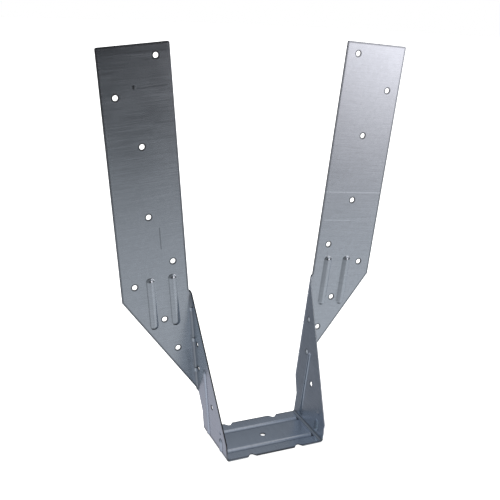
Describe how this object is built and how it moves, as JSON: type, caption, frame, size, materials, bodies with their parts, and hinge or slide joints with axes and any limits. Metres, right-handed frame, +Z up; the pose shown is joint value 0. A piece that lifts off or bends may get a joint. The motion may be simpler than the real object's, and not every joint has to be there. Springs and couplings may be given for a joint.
{
  "type": "beam hanger",
  "caption": "Face-mount hanger folded from one galvanised sheet: a ribbed seat and two side plates hold a beam's end, and two long splayed straps nail to the header.",
  "frame": {"origin": "middle of the hanger's box, at the height of the ribs under the seat", "axes": "+Z up along the straps, +Y towards the header that the straps are nailed to, +X to the right seen from the joist"},
  "size_m": [0.2766, 0.066, 0.3475],
  "materials": {
    "galvanised_sheet": "galvanised steel, cold grey, with fine rolling streaks and light handling marks"
  },
  "bodies": {
    "root": {"beam_hanger": "galvanised_sheet"}
  },
  "joints": []
}
